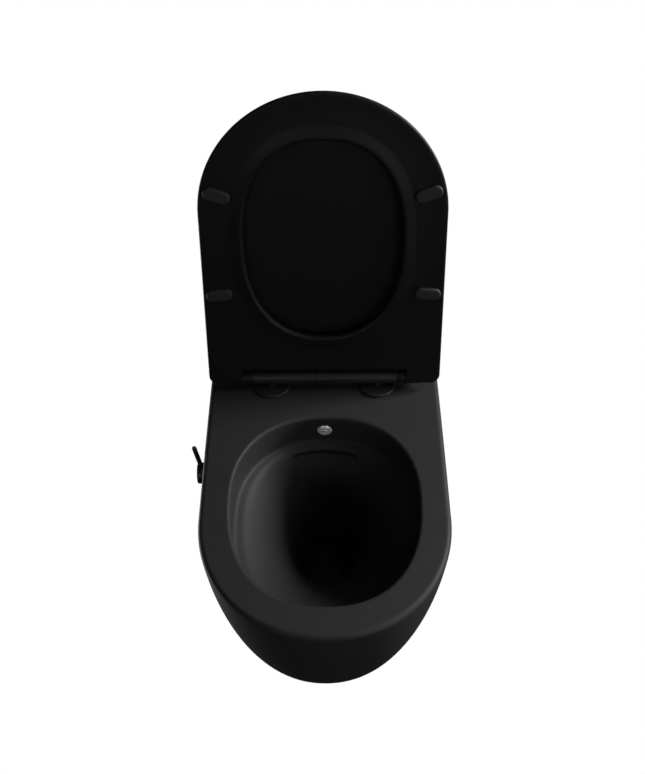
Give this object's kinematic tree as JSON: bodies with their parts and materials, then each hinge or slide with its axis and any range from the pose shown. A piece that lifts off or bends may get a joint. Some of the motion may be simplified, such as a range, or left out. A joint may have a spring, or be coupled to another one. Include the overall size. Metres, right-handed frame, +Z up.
{
  "type": "wall-hung toilet",
  "caption": "Wall-hung rimless toilet pan with a soft-close seat and lid, a bidet nozzle in the bowl and a lever valve on its flank.",
  "frame": {"origin": "on the wall plane, midway between the two wall studs", "axes": "+Z up, +Y into the wall, +X to the right of someone who faces the wall"},
  "size_m": [0.3794, 0.5448, 0.8149],
  "materials": {
    "china": "matt black glaze",
    "seat_plastic": "matt black moulded seat plastic",
    "hinge_plastic": "satin black moulding",
    "valve_black": "matt black coated brass",
    "rubber": "dark grey moulded rubber",
    "chrome": "polished",
    "zinc_steel": "bright zinc plate",
    "brass": "turned",
    "fitting_plastic": "black glass-filled fitting",
    "clear_plastic": "natural moulded plastic"
  },
  "bodies": {
    "root": {"pan": "china", "wall_sleeves": "clear_plastic", "wall_washers": "zinc_steel", "wall_nuts": "zinc_steel", "flank_caps": "hinge_plastic", "hinge_base_plates": "zinc_steel", "hinge_rosettes": "hinge_plastic", "hinge_posts": "hinge_plastic", "hinge_studs": "zinc_steel", "expansion_sleeves": "rubber", "sleeve_nuts": "brass", "hinge_bar": "hinge_plastic", "damper_cartridges": "clear_plastic", "button_spring": "zinc_steel", "nozzle_flange": "chrome", "nozzle_jet": "chrome", "nozzle_gasket": "rubber", "nozzle_nut": "brass", "nozzle_elbow": "fitting_plastic", "feed_pipe": "zinc_steel", "valve_body": "brass", "valve_escutcheon": "valve_black", "valve_nut": "brass", "supply_pipe": "zinc_steel"},
    "seat": {"seat": "seat_plastic", "seat_buffers": "rubber", "hinge_pins": "zinc_steel"},
    "lid": {"lid": "seat_plastic", "lid_buffers": "rubber"},
    "button": {"release_button": "hinge_plastic"},
    "lever": {"lever_hub": "valve_black", "lever_pin": "valve_black", "valve_spindle": "brass", "valve_disc": "clear_plastic"}
  },
  "joints": [
    {"name": "lid_hinge", "type": "hinge", "parent": "root", "child": "lid", "pos_m": [0, -0.097, 0.099], "axis": [1, 0, 0], "range_deg": [0, 98]},
    {"name": "seat_hinge", "type": "hinge", "parent": "root", "child": "seat", "pos_m": [0, -0.097, 0.099], "axis": [1, 0, 0], "range_deg": [0, 98]},
    {"name": "button_press", "type": "slide", "parent": "root", "child": "button", "axis": [0, 0.7071, -0.7071], "range_m": [0, 0.0018], "stiffness_N_per_m": 400, "springref_m": -0.001, "deforming": ["button_spring"]},
    {"name": "lever_turn", "type": "hinge", "parent": "root", "child": "lever", "pos_m": [0, -0.227, 0.022], "axis": [1, 0, 0], "range_deg": [0, 90]}
  ],
  "couplings": [
    {"joint": "seat_hinge", "follows": "lid_hinge", "ratio": 1}
  ]
}
